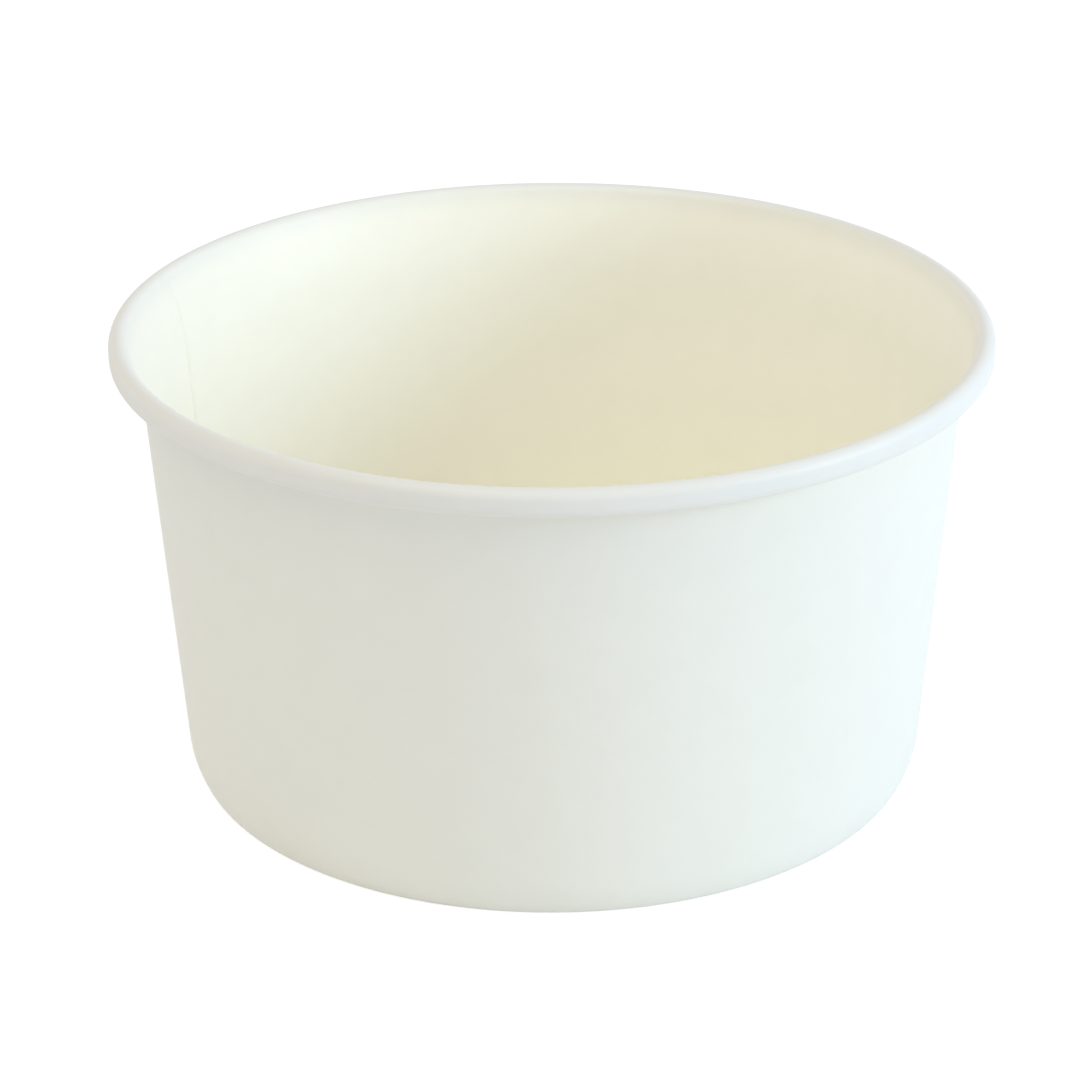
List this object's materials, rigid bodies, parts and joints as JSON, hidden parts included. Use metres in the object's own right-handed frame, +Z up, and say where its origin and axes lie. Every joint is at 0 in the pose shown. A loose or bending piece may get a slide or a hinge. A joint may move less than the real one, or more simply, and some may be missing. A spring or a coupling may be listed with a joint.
{
  "type": "paper sundae cup",
  "caption": "Plain white paper sundae cup, wide and low, with a tapered seamed wall, a curled rim, a base disc gripped in a folded foot, and an open top for ice cream or dessert.",
  "frame": {"origin": "centre of the foot, on the table that the cup stands on", "axes": "+Z up along the cup's axis towards the open rim, +Y away from the picture's viewer, +X to the viewer's right; the seam is behind and to the left"},
  "size_m": [0.115, 0.115, 0.061],
  "materials": {
    "coated_board": "coated white board, soft sheen",
    "base_board": "coated white board, soft sheen"
  },
  "bodies": {
    "root": {"side_wall": "coated_board", "base_disc": "base_board"}
  },
  "joints": []
}
